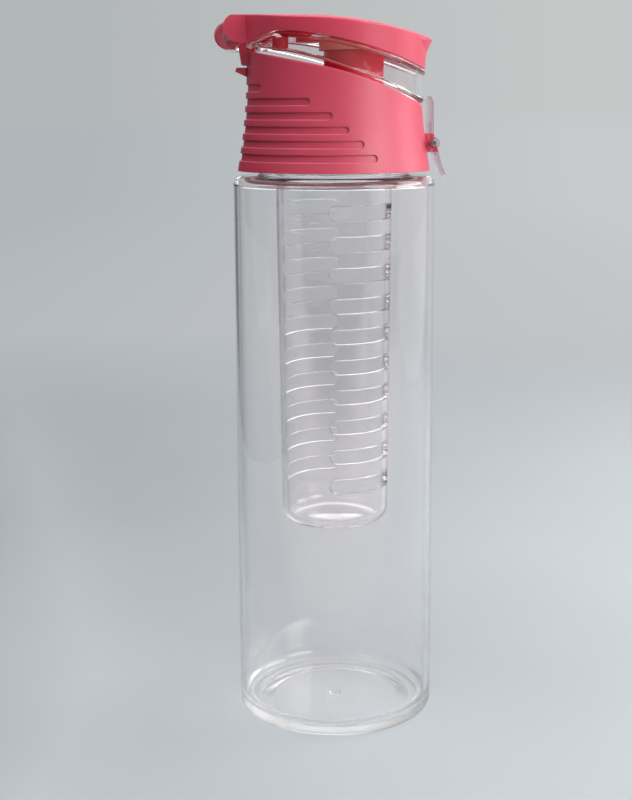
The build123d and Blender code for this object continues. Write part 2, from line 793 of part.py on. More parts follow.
# Latch lever: a bent clear bar with a slot round the collar's lug
with BuildPart() as latch_lever:
    latch_nose_x = shell_radius + catch_depth + latch_nose_gap
    latch_nose_height = rim_front_height + latch_nose_rise
    latch_hem_x = max(body_radius + latch_hem_gap, latch_knee_x + latch_hem_lean)
    latch_hem_height = collar_foot + latch_hem_rise
    latch_foot_x = latch_hem_x + latch_foot_lean
    latch_foot_height = collar_foot - latch_foot_drop
    lever = [
        (latch_nose_x, latch_nose_height),
        (latch_nose_x + latch_nose_slant, latch_nose_height),
        (latch_outer_x, latch_nose_height - latch_thickness),
        (latch_outer_x, lug_top_height),
        (latch_knee_x, latch_knee_height),
        (latch_hem_x, latch_hem_height),
        (latch_foot_x, latch_foot_height),
        (latch_foot_x - latch_thickness, latch_foot_height),
        (latch_hem_x - latch_thickness, latch_hem_height),
        (latch_knee_x - latch_thickness, latch_knee_height),
        (latch_pin_x - latch_inner_inset, lug_top_height),
    ]
    with BuildSketch(side_plane.offset(-latch_half_width)) as profile:
        with BuildLine():
            Polyline(*lever, close=True)
        make_face()
        for bend in (lever[3], lever[4], lever[5], lever[8], lever[9], lever[10]):
            fillet(profile.vertices().sort_by_distance(bend)[0], latch_bend_radius)
        for tip in (lever[6], lever[7]):
            fillet(profile.vertices().sort_by_distance(tip)[0], latch_edge_rounding)
    extrude(amount=2 * latch_half_width)
    add(side_disc(latch_pin_place, latch_eye_radius, -latch_half_width, latch_half_width))
    slot_foot = lug_foot_height - latch_slot_end_gap
    slot_top = lug_top_height + latch_window_rise
    slot = [
        (lug_root_x, slot_foot),
        (latch_foot_x, slot_foot),
        (latch_foot_x, slot_top),
        (lug_root_x, slot_top),
    ]
    add(side_prism(slot, -latch_slot_half_width, latch_slot_half_width), mode=Mode.SUBTRACT)
    eye_bore = latch_pin_radius + hinge_pin_gap
    add(side_disc(latch_pin_place, eye_bore, -latch_half_width, latch_half_width), mode=Mode.SUBTRACT)
latch_lever.part.label = "latch_lever"

# Latch pin
with BuildPart() as latch_pin:
    add(side_disc(latch_pin_place, latch_pin_radius, -latch_half_width, latch_half_width))
latch_pin.part.label = "latch_pin"

os.makedirs("parts", exist_ok=True)
export_step(bottle_body.part, "parts/bottle_body.step")
export_step(collar.part, "parts/collar.step")
export_step(inner_cap.part, "parts/inner_cap.step")
export_step(cap_gasket.part, "parts/cap_gasket.step")
export_step(infuser_basket.part, "parts/infuser_basket.step")
export_step(lid_shell.part, "parts/lid_shell.step")
export_step(lid_cover.part, "parts/lid_cover.step")
export_step(spout_seal.part, "parts/spout_seal.step")
export_step(hinge_pin.part, "parts/hinge_pin.step")
export_step(latch_lever.part, "parts/latch_lever.step")
export_step(latch_pin.part, "parts/latch_pin.step")
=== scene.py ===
from math import radians
import bmesh
import bpy
import numpy as np
from mathutils import Matrix, Vector


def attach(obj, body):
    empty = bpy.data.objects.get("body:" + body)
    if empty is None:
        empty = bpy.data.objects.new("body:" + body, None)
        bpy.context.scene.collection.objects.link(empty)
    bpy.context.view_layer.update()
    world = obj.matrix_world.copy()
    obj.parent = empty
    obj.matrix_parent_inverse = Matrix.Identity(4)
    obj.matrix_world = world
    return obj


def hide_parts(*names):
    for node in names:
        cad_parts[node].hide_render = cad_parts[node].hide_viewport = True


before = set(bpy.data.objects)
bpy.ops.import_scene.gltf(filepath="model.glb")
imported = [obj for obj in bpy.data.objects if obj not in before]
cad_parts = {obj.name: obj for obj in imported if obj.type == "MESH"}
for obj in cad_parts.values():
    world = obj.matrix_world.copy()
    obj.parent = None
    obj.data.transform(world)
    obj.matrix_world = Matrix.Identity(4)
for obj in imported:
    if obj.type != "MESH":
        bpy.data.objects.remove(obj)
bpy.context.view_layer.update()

# Shapes are worked out in millimetres and go into their meshes in metres. Points of a mesh that are nearer
# than SAME_POINT, in metres, become one
MM = 0.001
SAME_POINT = 1e-6

# Bottle body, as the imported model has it
BODY_RADIUS = 36.0
BODY_INSIDE = 34.1
BODY_COLUMNS = 384
FLOOR_TOP = 3.4
NUB_TIP_RADIUS = 1.9
NUB_ROOT_RADIUS = 2.3
NUB_TIP = 0.6
PUSH_UP = 1.2
PUSH_UP_RADIUS = 23.0
FOOT_INSIDE = 28.0
SHOULDER_TOP = 198.8
SHOULDER_UNDER = 196.9
NECK_RADIUS = 26.9
NECK_BORE = 25.0
NECK_TOP = 213.5
NECK_STEP = 0.2
THREAD_START = 204.6
THREAD_PITCH = 4.0
THREAD_TURNS = 1.25
THREAD_DEPTH = 1.0
THREAD_HALF_FOOT = 1.1
THREAD_FLANK = 0.45
THREAD_FADE = 0.04

# Fruit basket
BASKET_TOP = 214.6
BASKET_STRAIGHT_FOOT = 189.6
BASKET_FOOT = 72.0
BASKET_TOP_RADIUS = 20.75
BASKET_FOOT_RADIUS = 19.4
BASKET_WALL = 1.8
BASKET_NUB = 71.4
BASKET_NUB_TIP_RADIUS = 1.4
BASKET_NUB_ROOT_RADIUS = 1.7
BASKET_FLOOR = 74.0
BASKET_CORNER = 6.0
BASKET_LIP = 0.4
SLOT_TOP = 188.9
SLOT_HEIGHT = 5.1
SLOT_PITCH = 10.85
SLOT_ROWS = 10
SLOT_ANGLES = (-88.0, -7.0)
COLUMN_STEP = 3.0
BULGE_COLUMNS = 7
LUG_FOOT = 205.95
LUG_TOP = 208.15
LUG_RADIUS = 22.6
LUG_HALF_ANGLE = 12.0
LUG_SIDE_ANGLE = 1.5
LUG_EDGE = 0.3

# Lid: its arcs are given by three points in the side view, each (x, height). A drop is measured down from the
# crown's top or, on the shell's wall, from the cover's lower edge
COVER_TOP = 254.4
CROWN_FLAT_X = -10.0
CROWN_ARC = 120.2
CROWN_DROP = 2.7
CEILING_DROP = 4.9
CEILING_WALL = 1.9
SHELL_RADIUS = 31.8
SHELL_NECK_RADIUS = 30.9
RIM_RADIUS = 1.05
RIM_ARC = ((-36.0, 243.7), (5.5, 235.25), (36.0, 221.55))
COVER_ARC = ((-19.0, 248.3), (5.0, 244.7), (36.0, 233.75))
HEEL_SLOPE = 0.39
HEEL_FOOT = 244.2
HEEL_ROUNDING = 0.8
WALL_TOP_DROP = 2.3
BEAD_FOOT_DROP = 2.2
BEAD_HEIGHT = 2.1
BEAD_SWELL = 0.7
NECK_FOOT_DROP = 0.05
CATCH_HEIGHT = 224.6
CATCH_HALF_HEIGHT = 0.6
CATCH_HALF_WIDTH = 5.0
CATCH_DEPTH = 0.35
NOTCH_ANGLE = 157.6
NOTCH_DEPTH = 27.6
PIVOT = np.array([-36.3, 247.0])
KNUCKLE_RADIUS = 4.75
PIN_BORE = 1.55
ARM_INSIDE = 6.9
ARM_OUTSIDE = 12.1
ARM_ROUNDING = 0.4
ARM_OUTLINE = [(-36.3, 251.75), (-32.35, 251.5), (-26.55, 249.5), (-26.55, 246.35), (-33.8, 244.25),
               (-33.8, 242.25), (-36.3, 242.25)]

# Finishes: the clear plastic's refractive index, and the radius of softened edges in metres
PLASTIC_IOR = 1.49
EDGE_RADIUS = 0.0004


def rounded(corners, radii, steps=8):
    """A profile through corners, each replaced by an arc that touches both of its sides: the arc's centre
    lies on the line that halves the corner, at radius over the sine of the half angle."""
    corners = np.asarray(corners, float)
    pieces = []
    for k, radius in enumerate(radii):
        here = corners[k]
        if radius == 0:
            pieces.append(here[None, :])
            continue
        back = corners[k - 1] - here
        on = corners[k + 1] - here
        back /= np.linalg.norm(back)
        on /= np.linalg.norm(on)
        half = np.arccos(np.clip(back @ on, -1, 1)) / 2
        middle = (back + on) / np.linalg.norm(back + on)
        centre = here + middle * radius / np.sin(half)
        first = here + back * radius / np.tan(half) - centre
        last = here + on * radius / np.tan(half) - centre
        turn = np.pi - 2 * half
        share = np.linspace(0, 1, steps + 1)[:, None]
        arc = (np.sin((1 - share) * turn) * first + np.sin(share * turn) * last) / np.sin(turn)
        pieces.append(centre + arc)
    return np.vstack(pieces)


def stepped(profile, longest):
    """The same profile with no step longer than that: each stretch is cut into equal steps."""
    lengths = np.linalg.norm(np.diff(profile, axis=0), axis=1)
    counts = np.maximum(1, np.ceil(lengths / longest).astype(int))
    first = np.repeat(np.arange(len(counts)), counts)
    share = np.concatenate([np.arange(count) / count for count in counts])[:, None]
    inner = profile[first] * (1 - share) + profile[first + 1] * share
    return np.vstack([inner, profile[-1:]])


def around(radius, height, angle):
    """Points at each radius, height and angle about the bottle's axis: x = r cos a, y = r sin a."""
    radius, height, angle = np.broadcast_arrays(radius, height, angle)
    return np.stack([radius * np.cos(angle), radius * np.sin(angle), height], axis=-1)


def ring_quads(rows, columns):
    """The quads between neighbouring points of a grid that closes round its columns."""
    row = np.arange(rows - 1)[:, None] * columns
    column = np.arange(columns)[None, :]
    after = (column + 1) % columns
    return np.stack([row + column, row + after, row + columns + after, row + columns + column], axis=-1)


def smooth_step(value):
    """0 below 0, 1 above 1, and 3v^2 - 2v^3 between."""
    value = np.clip(value, 0, 1)
    return value * value * (3 - 2 * value)


def stand(name, data):
    """An object with that data, put into the scene."""
    made = bpy.data.objects.new(name, data)
    bpy.context.scene.collection.objects.link(made)
    return made


def piece(name, points, material, body, nodes, sharp, quads=None):
    """A closed mesh piece in millimetres, from a grid of points that closes round its columns, or from points
    with their quads. Doubles are merged, and edges over the sharp angle stay sharp."""
    if quads is None:
        quads = ring_quads(*points.shape[:2])
    mesh = bpy.data.meshes.new(name)
    mesh.from_pydata((points.reshape(-1, 3) * MM).tolist(), [], quads.reshape(-1, 4).tolist())
    work = bmesh.new()
    work.from_mesh(mesh)
    bmesh.ops.remove_doubles(work, verts=work.verts, dist=SAME_POINT)
    bmesh.ops.recalc_face_normals(work, faces=work.faces)
    work.to_mesh(mesh)
    work.free()
    mesh.shade_smooth()
    mesh.set_sharp_from_angle(angle=radians(sharp))
    made = stand(name, mesh)
    mesh.materials.append(material)
    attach(made, body)
    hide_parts(*nodes)
    return made


def set_or_link(tree, socket, value):
    """Links a socket that comes from a node, or sets a plain value."""
    if isinstance(value, bpy.types.NodeSocket):
        tree.links.new(value, socket)
    else:
        socket.default_value = value


def node(tree, kind, feeds=None, **settings):
    """A shader node with its settings, and its inputs set or linked by name or place."""
    made = tree.nodes.new("ShaderNode" + kind)
    for key, value in settings.items():
        setattr(made, key, value)
    for key, value in (feeds or {}).items():
        set_or_link(tree, made.inputs[key], value)
    return made


def object_place(tree, stretch=(1, 1, 1)):
    """The place on the object, stretched along its axes."""
    place = node(tree, "TexCoord").outputs["Object"]
    return node(tree, "Mapping", {"Vector": place, "Scale": stretch}).outputs["Vector"]


def effect(name, inputs, outputs):
    """An empty node group with named sockets: its tree, its input values and its output sockets."""
    tree = bpy.data.node_groups.new(name, "ShaderNodeTree")
    for label, kind, value in inputs:
        socket = tree.interface.new_socket(label, in_out="INPUT", socket_type="NodeSocket" + kind)
        socket.default_value = value
    for label, kind in outputs:
        tree.interface.new_socket(label, in_out="OUTPUT", socket_type="NodeSocket" + kind)
    return tree, tree.nodes.new("NodeGroupInput").outputs, tree.nodes.new("NodeGroupOutput").inputs


def use(tree, group, **values):
    """An effect placed in a material with its own values: its outputs."""
    made = tree.nodes.new("ShaderNodeGroup")
    made.node_tree = group
    for key, value in values.items():
        set_or_link(tree, made.inputs[key], value)
    return made.outputs


def spread(tree, value, low, high, first, last):
    """A value's range low to high, moved to first to last and held there."""
    feeds = {"Value": value, "From Min": low, "From Max": high, "To Min": first, "To Max": last}
    return node(tree, "MapRange", feeds).outputs["Result"]


def product(tree, one, other):
    """One value times another."""
    return node(tree, "Math", {0: one, 1: other}, operation="MULTIPLY").outputs["Value"]


def total(tree, one, other):
    """One value plus another."""
    return node(tree, "Math", {0: one, 1: other}, operation="ADD").outputs["Value"]


def cloud(tree, scale, detail, stretch=(1, 1, 1), **feeds):
    """Noise between 0 and 1 over the place on the object."""
    feeds = {"Vector": object_place(tree, stretch), "Scale": scale, "Detail": detail, **feeds}
    return node(tree, "TexNoise", feeds).outputs["Fac"]


def blend(tree, factor, first, second):
    """A colour that goes from the first to the second as the factor goes from 0 to 1."""
    first, second = ((*value, 1) if isinstance(value, tuple) else value for value in (first, second))
    return node(tree, "Mix", {"Factor": factor, 6: first, 7: second}, data_type="RGBA").outputs[2]


def new_material(name):
    """A new material with its node tree and its main shader."""
    material = bpy.data.materials.new(name)
    material.use_nodes = True
    return material, material.node_tree, material.node_tree.nodes["Principled BSDF"]


def show_mix(tree, factor, first, second):
    """The surface shows the first shader, and the second as the factor goes to 1."""
    mix = node(tree, "MixShader", {"Fac": factor, 1: first.outputs[0], 2: second.outputs[0]})
    tree.links.new(mix.outputs["Shader"], tree.nodes["Material Output"].inputs["Surface"])


def pass_lamps(tree, shader, colour):
    """Lets a coloured share of the lamps' light through, where there would be a full shadow."""
    lamp_light = node(tree, "BsdfTransparent", {"Color": (*colour, 1)})
    show_mix(tree, node(tree, "LightPath").outputs["Is Shadow Ray"], shader, lamp_light)


# Colour drift: the pigment is a little denser in some places than in others
colour_drift, given, gives = effect(
    "colour_drift",
    [("Colour", "Color", (1, 1, 1, 1)), ("Amount", "Float", 0.03), ("Density", "Float", 40.0)],
    [("Colour", "Color")])
less = node(colour_drift, "Math", {0: 1.0, 1: given["Amount"]}, operation="SUBTRACT").outputs["Value"]
more = total(colour_drift, 1.0, given["Amount"])
level = spread(colour_drift, cloud(colour_drift, given["Density"], 3.0), 0.35, 0.65, less, more)
shaded = node(colour_drift, "HueSaturation", {"Value": level, "Color": given["Colour"]})
colour_drift.links.new(shaded.outputs["Color"], gives["Colour"])

# Mould finish: the fine grain and the slow ripple that a mould leaves, as one height in metres
mould_finish, given, gives = effect(
    "mould_finish",
    [("Grain", "Float", 2200.0), ("Grain Depth", "Float", 0.0), ("Ripple", "Float", 70.0),
     ("Ripple Depth", "Float", 0.0)],
    [("Height", "Float")])
grain = product(mould_finish, cloud(mould_finish, given["Grain"], 2.0), given["Grain Depth"])
ripple = product(mould_finish, cloud(mould_finish, given["Ripple"], 1.0), given["Ripple Depth"])
mould_finish.links.new(total(mould_finish, grain, ripple), gives["Height"])

# Handling: soft smudges and sparse fine scratches, which raise the roughness
handling, given, gives = effect(
    "handling", [("Roughness", "Float", 0.3), ("Smudge", "Float", 0.05), ("Scratch", "Float", 0.2)],
    [("Roughness", "Float"), ("Scratches", "Float")])
smudged = product(handling, spread(handling, cloud(handling, 45.0, 4.0), 0.45, 0.7, 0.0, 1.0), given["Smudge"])
along = cloud(handling, 1500.0, 1.0, (1.0, 1.0, 0.02), Distortion=0.4)
across = cloud(handling, 1300.0, 1.0, (0.05, 0.3, 1.0), Distortion=0.6)
lines = node(handling, "Math", {0: along, 1: across}, operation="MAXIMUM").outputs["Value"]
sparse = spread(handling, cloud(handling, 28.0, 2.0), 0.52, 0.66, 0.0, 1.0)
scratches = product(handling, spread(handling, lines, 0.72, 0.78, 0.0, 1.0), sparse)
handling.links.new(scratches, gives["Scratches"])
rough = total(handling, total(handling, given["Roughness"], smudged),
              product(handling, scratches, given["Scratch"]))
handling.links.new(rough, gives["Roughness"])

# Softened edges: the normal of an edge rounded by a small radius, and a mask of those edges
soft_edges, given, gives = effect(
    "soft_edges", [("Radius", "Float", 0.0005)], [("Normal", "Vector"), ("Edge", "Float")])
rounding = node(soft_edges, "Bevel", {"Radius": given["Radius"]}, samples=4).outputs["Normal"]
flat = node(soft_edges, "NewGeometry").outputs["Normal"]
facing = node(soft_edges, "VectorMath", {0: rounding, 1: flat}, operation="DOT_PRODUCT").outputs["Value"]
soft_edges.links.new(rounding, gives["Normal"])
soft_edges.links.new(spread(soft_edges, facing, 0.98, 0.80, 0.0, 1.0), gives["Edge"])


def clear_plastic(name, tint, roughness=0.0, ripple_depth=1.5e-5, through=0.965, edge_radius=0.0,
                  edge_shade=0.0, painted_edge_line=0.0, edge_colour=(0.42, 0.36, 0.44), foot_wear=0.0):
    """Clear moulded plastic, faintly rippled and smudged, that lets most of the lamps' light through. By
    edge_shade it has painted shade where it is seen along its walls, and it can have painted dark lines at its
    edges. By foot_wear the foot that it stands on is duller."""
    material, tree, shader = new_material(name)
    shader.inputs["IOR"].default_value = PLASTIC_IOR
    shader.inputs["Transmission Weight"].default_value = 1.0
    colour = use(tree, colour_drift, Colour=(*tint, 1), Amount=0.015, Density=18.0)["Colour"]
    if edge_radius:
        edges = use(tree, soft_edges, Radius=edge_radius)
        # Painted shade: dark lines along the rounded edges
        colour = blend(tree, product(tree, edges["Edge"], painted_edge_line), colour, edge_colour)
    if edge_shade:
        # Painted shade: darker where the wall is seen aslant
        facing = node(tree, "LayerWeight", {"Blend": 0.5}).outputs["Facing"]
        colour = blend(tree, spread(tree, facing, 0.66, 0.96, 0.0, edge_shade), colour, edge_colour)
    tree.links.new(colour, shader.inputs["Base Color"])
    if foot_wear:
        height = node(tree, "SeparateXYZ", {0: object_place(tree)}).outputs["Z"]
        roughness = spread(tree, height, 0.002, 0.007, foot_wear, roughness)
    marks = use(tree, handling, Roughness=roughness, Smudge=0.03, Scratch=0.12)
    tree.links.new(marks["Roughness"], shader.inputs["Roughness"])
    finish = use(tree, mould_finish, **{"Ripple": 60.0, "Ripple Depth": ripple_depth})
    bump = node(tree, "Bump", {"Height": finish["Height"], "Distance": 1.0})
    if edge_radius:
        tree.links.new(edges["Normal"], bump.inputs["Normal"])
    tree.links.new(bump.outputs["Normal"], shader.inputs["Normal"])
    pass_lamps(tree, shader, (through, through, through))
    return material


def coloured_plastic(name, colour, roughness, edge_colour, edge_highlight_share=0.4, grain_depth=6e-6, drift=0.05,
                     glow=0.0, through=None, gloss=0.5):
    """Moulded plastic with a fine grain, a painted highlight along its edges, smudges, and scratches that are a
    little paler. Thin translucent plastic glows from within and lets a share of the lamps' light through."""
    material, tree, shader = new_material(name)
    edges = use(tree, soft_edges, Radius=EDGE_RADIUS)
    marks = use(tree, handling, Roughness=roughness, Smudge=0.07, Scratch=0.15)
    base = use(tree, colour_drift, Colour=(*colour, 1), Amount=drift, Density=40.0)["Colour"]
    # Painted highlight: the edges go towards the pale edge colour; the scratches do a little too
    highlight_and_scratches = total(tree, product(tree, edges["Edge"], edge_highlight_share), product(tree, marks["Scratches"], 0.12))
    tree.links.new(blend(tree, highlight_and_scratches, base, edge_colour), shader.inputs["Base Color"])
    tree.links.new(marks["Roughness"], shader.inputs["Roughness"])
    finish = use(tree, mould_finish, **{"Grain Depth": grain_depth})
    bump = node(tree, "Bump", {"Height": finish["Height"], "Distance": 1.0, "Normal": edges["Normal"]})
    tree.links.new(bump.outputs["Normal"], shader.inputs["Normal"])
    if glow:
        shader.inputs["Subsurface Weight"].default_value = glow
        shader.inputs["Subsurface Radius"].default_value = (1.0, 0.35, 0.3)
        shader.inputs["Subsurface Scale"].default_value = 0.004
    shader.inputs["Specular IOR Level"].default_value = gloss
    if through:
        pass_lamps(tree, shader, through)
    return material


# Painted shade where body and basket are seen aslant; the basket's is darker, with dark lines painted round its
# slots
body_clear = clear_plastic(
    "body_clear_plastic", (1.0, 0.983, 0.985), ripple_depth=0.8e-5, edge_shade=0.9, foot_wear=0.16)
basket_clear = clear_plastic(
    "basket_clear_plastic", (0.995, 0.985, 0.992), ripple_depth=2e-5, edge_radius=0.0005,
    edge_shade=0.95, painted_edge_line=1.0, edge_colour=(0.22, 0.13, 0.18))
lid_clear = clear_plastic("lid_clear_plastic", (0.985, 0.975, 0.985), ripple_depth=1e-5, through=0.97)
latch_clear = clear_plastic(
    "latch_clear_plastic", (0.90, 0.72, 0.79), roughness=0.12, through=0.8, edge_radius=EDGE_RADIUS)
# The pale edge colours are painted highlights along the edges, and the scratches' colour
pale_pink = (0.95, 0.42, 0.5)
sleeve_pink = coloured_plastic(
    "sleeve_pink_plastic", (0.68, 0.049, 0.108), 0.44, pale_pink, glow=0.15, gloss=1.0,
    through=(0.03, 0.004, 0.008))
cover_pink = coloured_plastic(
    "cover_pink_plastic", (0.70, 0.050, 0.108), 0.40, pale_pink, glow=0.3, gloss=0.95,
    through=(0.55, 0.22, 0.26))
spout_pink = coloured_plastic("spout_pink_plastic", (0.74, 0.045, 0.1), 0.16, (0.9, 0.3, 0.38), glow=0.5)
silicone = coloured_plastic(
    "gasket_silicone", (0.82, 0.80, 0.80), 0.5, (0.9, 0.9, 0.9), edge_highlight_share=0.2, glow=0.4)
peach_silicone = coloured_plastic(
    "seal_silicone", (0.95, 0.66, 0.45), 0.45, (0.97, 0.75, 0.6), edge_highlight_share=0.2, glow=0.4,
    through=(0.6, 0.4, 0.3))
steel = coloured_plastic(
    "pin_steel", (0.56, 0.56, 0.57), 0.26, (0.75, 0.75, 0.76), grain_depth=2e-6, drift=0.08)
steel.node_tree.nodes["Principled BSDF"].inputs["Metallic"].default_value = 1.0


def thread_ridge(height, angle):
    """The neck's thread: a trapezoid in height that climbs one pitch a turn and fades out at both ends."""
    ridge = np.zeros(np.broadcast(height, angle).shape)
    for turn in (0, 1):
        travelled = angle / (2 * np.pi) + turn
        off = np.abs(height - THREAD_START - THREAD_PITCH * travelled)
        fade = smooth_step(travelled / THREAD_FADE) * smooth_step((THREAD_TURNS - travelled) / THREAD_FADE)
        ridge = np.maximum(ridge, THREAD_DEPTH * np.clip((THREAD_HALF_FOOT - off) / THREAD_FLANK, 0, 1) * fade)
    return ridge


# Bottle body: the wall's profile turned about the axis, from the gate nub under the floor over the push-up, the
# foot, the wall and the neck to the floor inside. The neck's outside is cut into short steps, and the thread
# ridge is added to its radius
outline = rounded(
    [(0, NUB_TIP), (NUB_TIP_RADIUS, NUB_TIP), (NUB_ROOT_RADIUS, PUSH_UP), (PUSH_UP_RADIUS, PUSH_UP),
     (FOOT_INSIDE, 0), (BODY_RADIUS, 0), (BODY_RADIUS, SHOULDER_TOP), (NECK_RADIUS, SHOULDER_TOP),
     (NECK_RADIUS, NECK_TOP), (NECK_BORE, NECK_TOP), (NECK_BORE, SHOULDER_UNDER),
     (BODY_INSIDE, SHOULDER_UNDER), (BODY_INSIDE, FLOOR_TOP), (0, FLOOR_TOP)],
    [0, 0.3, 0.3, 8, 2.5, 3.5, 3.0, 0.8, 0.5, 0.5, 0.8, 2.05, 4.9, 0],
)
neck_start = int(np.argmax(outline[:, 1] > SHOULDER_TOP + 1.0))
neck_end = neck_start + int(np.argmax(outline[neck_start:, 1] > NECK_TOP - 0.6))
neck = stepped(outline[neck_start - 1:neck_end + 1], NECK_STEP)
outline = np.vstack([outline[:neck_start], neck, outline[neck_end + 1:]])
turn = np.linspace(0, 2 * np.pi, BODY_COLUMNS, endpoint=False)[None, :]
radius = outline[:, :1]
height = outline[:, 1:]
on_neck = (np.abs(radius - NECK_RADIUS) < 0.01) & (height > SHOULDER_TOP + 0.8)
points = around(radius + on_neck * thread_ridge(height, turn), height, turn)
piece("body_wall", points, body_clear, "bottle", ["bottle_body"], sharp=50)

# Fruit basket: an outer and an inner wall on one grid of heights and angles. The cells of each slot are
# left out, and at its ends the grid's columns bulge by the half circle of the slot's end
slot_foot = SLOT_TOP - SLOT_HEIGHT - SLOT_PITCH * np.arange(SLOT_ROWS)[::-1]
sweep = np.linspace(0, np.pi, 11)
slot_heights = slot_foot[:, None] + SLOT_HEIGHT / 2 * (1 - np.cos(sweep))[None, :]
between = np.array([0.25, 0.5, 0.75])
plain_heights = slot_foot[:-1, None] + SLOT_HEIGHT + (SLOT_PITCH - SLOT_HEIGHT) * between
banded = np.hstack([slot_heights[:-1], plain_heights]).ravel()
wall_heights = np.concatenate([
    [BASKET_FOOT + BASKET_CORNER], [slot_foot[0] - 1.5], banded, slot_heights[-1], [SLOT_TOP + 0.5],
    np.arange(BASKET_STRAIGHT_FOOT + 1, LUG_FOOT - 1, 3.0),
    np.linspace(LUG_FOOT - LUG_EDGE, LUG_TOP + LUG_EDGE, 9), np.arange(LUG_TOP + 1, BASKET_TOP - 1, 1.5)])
taper = np.clip((wall_heights - BASKET_FOOT) / (BASKET_STRAIGHT_FOOT - BASKET_FOOT), 0, 1)
wall_radius = BASKET_FOOT_RADIUS + (BASKET_TOP_RADIUS - BASKET_FOOT_RADIUS) * taper
outer_foot = rounded(
    [(0, BASKET_NUB), (BASKET_NUB_TIP_RADIUS, BASKET_NUB), (BASKET_NUB_ROOT_RADIUS, BASKET_FOOT),
     (BASKET_FOOT_RADIUS, BASKET_FOOT), (BASKET_FOOT_RADIUS + 0.07, BASKET_FOOT + BASKET_CORNER)],
    [0, 0.2, 0.2, 5.0, 0])[:-1]
inner_foot = rounded(
    [(0, BASKET_FLOOR), (BASKET_FOOT_RADIUS - BASKET_WALL, BASKET_FLOOR),
     (BASKET_FOOT_RADIUS - BASKET_WALL + 0.05, BASKET_FOOT + BASKET_CORNER)], [0, 3.2, 0])[:-1]
sweep = np.linspace(0, np.pi / 2, 5)
lip_height = BASKET_TOP - BASKET_LIP + BASKET_LIP * np.sin(sweep)
outer_lip = np.column_stack([BASKET_TOP_RADIUS - BASKET_LIP + BASKET_LIP * np.cos(sweep), lip_height])
inner_edge = BASKET_TOP_RADIUS - BASKET_WALL
inner_lip = np.column_stack([inner_edge + BASKET_LIP - BASKET_LIP * np.cos(sweep), lip_height])
columns = np.radians(np.arange(SLOT_ANGLES[0], SLOT_ANGLES[0] + 360, COLUMN_STEP))[None, :]
all_round = columns.shape[1]
half_round = all_round // 2
span = round((SLOT_ANGLES[1] - SLOT_ANGLES[0]) / COLUMN_STEP)
column_number = np.arange(all_round)


def slot_bulge(heights):
    """How far, in radians round the axis, the columns at a slot's ends move outwards at each height."""
    middle = slot_foot + SLOT_HEIGHT / 2
    off = np.abs(heights[:, None] - middle[None, :]).min(axis=1)
    return np.sqrt(np.clip((SLOT_HEIGHT / 2) ** 2 - off ** 2, 0, None)) / BASKET_TOP_RADIUS


def near(column):
    """1 at a column, falling to 0 at BULGE_COLUMNS away from it, round and round."""
    away = np.abs((column_number - column + half_round) % all_round - half_round)
    return np.clip(1 - away / BULGE_COLUMNS, 0, 1)


push = near(span) + near(half_round + span) - near(0) - near(half_round)


def basket_wall(foot, radius, lip, lugs):
    """One wall of the basket as a grid, from its floor's middle to its lip."""
    radius = np.concatenate([foot[:, 0], radius, lip[:, 0]])
    height = np.concatenate([foot[:, 1], wall_heights, lip[:, 1]])
    bulge = np.concatenate([np.zeros(len(foot)), slot_bulge(wall_heights), np.zeros(len(lip))])
    angle = columns + bulge[:, None] * push[None, :]
    reach = np.zeros(angle.shape)
    if lugs:
        for middle in (0.0, np.pi):
            off = np.abs((angle - middle + np.pi) % (2 * np.pi) - np.pi)
            side = np.clip((radians(LUG_HALF_ANGLE) - off) / radians(LUG_SIDE_ANGLE) + 0.5, 0, 1)
            over_foot = np.clip((height[:, None] - LUG_FOOT) / LUG_EDGE + 1, 0, 1)
            under_top = np.clip((LUG_TOP - height[:, None]) / LUG_EDGE + 1, 0, 1)
            reach = np.maximum(reach, side * (over_foot * under_top))
    return around(radius[:, None] + reach * (LUG_RADIUS - BASKET_TOP_RADIUS), height[:, None], angle)


outer_wall = basket_wall(outer_foot, wall_radius, outer_lip, True)
inner_wall = basket_wall(inner_foot, wall_radius - BASKET_WALL, inner_lip, False)


def open_cells(wall, foot):
    """Which cells of a wall's grid lie inside a slot."""
    middle = (wall_heights[1:] + wall_heights[:-1]) / 2
    in_band = (np.abs(middle[:, None] - slot_foot[None, :] - SLOT_HEIGHT / 2) < SLOT_HEIGHT / 2).any(axis=1)
    in_span = (column_number % half_round) < span
    rows = np.zeros(wall.shape[0] - 1, bool)
    rows[len(foot):len(foot) + len(in_band)] = in_band
    return rows[:, None] & in_span[None, :]


def rims(hole, inwards):
    """Quads that join the two walls round every slot, one for each grid edge between an open and a kept cell.
    A point of the inner wall has the number of its outer neighbour plus inwards."""
    row, column = np.nonzero(hole != np.roll(hole, 1, axis=1))
    upright = np.stack([row * all_round + column, (row + 1) * all_round + column], axis=-1)
    row, column = np.nonzero(hole[1:] != hole[:-1])
    start = (row + 1) * all_round
    flat = np.stack([start + column, start + (column + 1) % all_round], axis=-1)
    one, other = np.vstack([upright, flat]).T
    return np.stack([one, other, other + inwards, one + inwards], axis=-1)


outer_hole = open_cells(outer_wall, outer_foot)
inner_hole = open_cells(inner_wall, inner_foot)
outer_quads = ring_quads(*outer_wall.shape[:2])[~outer_hole]
inner_start = outer_wall.shape[0] * outer_wall.shape[1]
inner_quads = ring_quads(*inner_wall.shape[:2])[~inner_hole] + inner_start
rim_quads = rims(outer_hole, inner_start + (len(inner_foot) - len(outer_foot)) * all_round)
points = np.vstack([outer_wall.reshape(-1, 3), inner_wall.reshape(-1, 3)])
basket = piece("basket_wall", points, basket_clear, "infuser", ["infuser_basket"],
               sharp=40, quads=np.vstack([outer_quads, inner_quads, rim_quads]))
edge = basket.modifiers.new("slot edges", "BEVEL")
edge.limit_method = "ANGLE"
edge.angle_limit = radians(60)
edge.width = 0.35 * MM
edge.segments = 3


